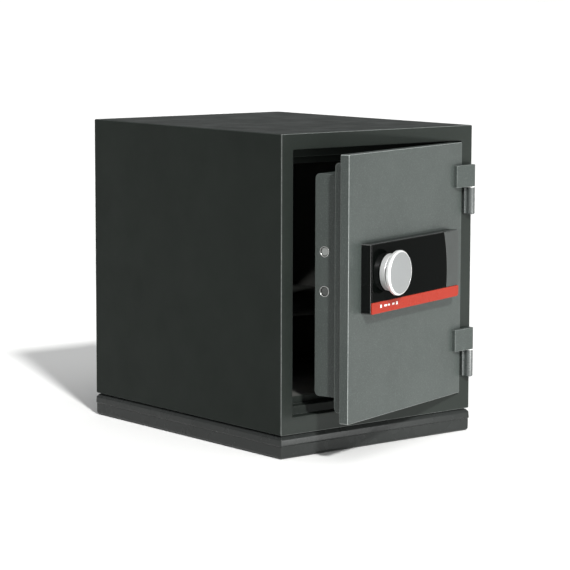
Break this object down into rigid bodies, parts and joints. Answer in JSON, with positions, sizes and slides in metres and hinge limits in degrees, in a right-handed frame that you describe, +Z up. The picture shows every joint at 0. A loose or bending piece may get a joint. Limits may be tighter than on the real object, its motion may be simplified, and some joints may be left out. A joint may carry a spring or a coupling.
{
  "type": "fire-resistant cabinet safe",
  "caption": "Free-standing filled steel safe on a plinth, with a stepped door on lift-off hinges, a shelf, and an electronic lock panel with a turning knob.",
  "frame": {"origin": "centre of the plinth's footprint, on the floor", "axes": "+X to the right as seen from the front, +Y to the rear (the door faces -Y), +Z up"},
  "size_m": [0.4064, 0.6415, 0.51],
  "materials": {
    "casing_paint": "satin",
    "frame_paint": "satin",
    "door_paint": "satin",
    "plinth_plastic": "satin",
    "liner_paint": "matte",
    "fill": "matte",
    "plain_steel": "satin",
    "bright_steel": "satin",
    "washer": "satin",
    "knob_metal": "satin",
    "housing_plastic": "gloss",
    "keypad_gloss": "gloss",
    "cover_paint": "satin",
    "strip_red": "satin",
    "seal": "matte",
    "board": "satin",
    "battery_case": "satin",
    "brass": "satin",
    "black_rubber": "matte"
  },
  "bodies": {
    "cabinet": {"plinth": "plinth_plastic", "plinth_bolts": "plain_steel", "outer_casing": "casing_paint", "back_panel": "casing_paint", "front_frame": "frame_paint", "body_insulation": "fill", "inner_liner": "liner_paint", "liner_back": "liner_paint", "shelf": "liner_paint", "shelf_supports": "plain_steel", "anchor_sleeves": "plain_steel", "strike_plate": "plain_steel", "upper_hinge_barrel": "frame_paint", "lower_hinge_barrel": "frame_paint", "upper_hinge_pin": "bright_steel", "lower_hinge_pin": "bright_steel", "hinge_washers": "washer"},
    "door": {"door_plate": "door_paint", "door_step": "door_paint", "door_liner": "door_paint", "door_insulation": "fill", "fire_seal": "seal", "upper_hinge_block": "door_paint", "lower_hinge_block": "door_paint", "lock_housing": "housing_plastic", "keypad_face": "keypad_gloss", "accent_strip": "strip_red", "battery": "battery_case", "battery_clip": "black_rubber", "circuit_board": "board", "housing_screws": "plain_steel", "spindle_bush": "brass", "lock_case": "plain_steel", "bolt_bushes": "bright_steel", "guide_screws": "plain_steel", "solenoid": "brass", "lock_cable": "black_rubber", "lock_cover": "door_paint", "cover_screws": "plain_steel"},
    "knob": {"knob": "knob_metal", "knob_screw": "plain_steel", "spindle": "bright_steel", "crank": "plain_steel"},
    "bolts": {"locking_bolts": "bright_steel", "bolt_carrier": "plain_steel"},
    "solenoid_pin": {"solenoid_pin": "bright_steel"},
    "battery_cover": {"battery_cover": "cover_paint"}
  },
  "joints": [
    {"name": "door_hinge", "type": "hinge", "parent": "cabinet", "child": "door", "pos_m": [0.193, -0.2601, 0.275], "axis": [0, 0, 1], "range_deg": [-17.6, 162.4]},
    {"name": "knob_turn", "type": "hinge", "parent": "door", "child": "knob", "pos_m": [-0.06941, -0.36684, 0.2973], "axis": [0.3024, -0.9532, 0], "range_deg": [0, 90]},
    {"name": "bolt_slide", "type": "slide", "parent": "door", "child": "bolts", "axis": [-0.9532, -0.3024, 0], "range_m": [0, 0.02]},
    {"name": "solenoid_pin_slide", "type": "slide", "parent": "door", "child": "solenoid_pin", "axis": [0, 0, 1], "range_m": [0, 0.007]},
    {"name": "battery_cover_slide", "type": "slide", "parent": "door", "child": "battery_cover", "axis": [0.9532, 0.3024, 0], "range_m": [0, 0.04]}
  ],
  "couplings": [
    {"joint": "bolt_slide", "follows": "knob_turn", "m_per_rad": 0.012732}
  ]
}
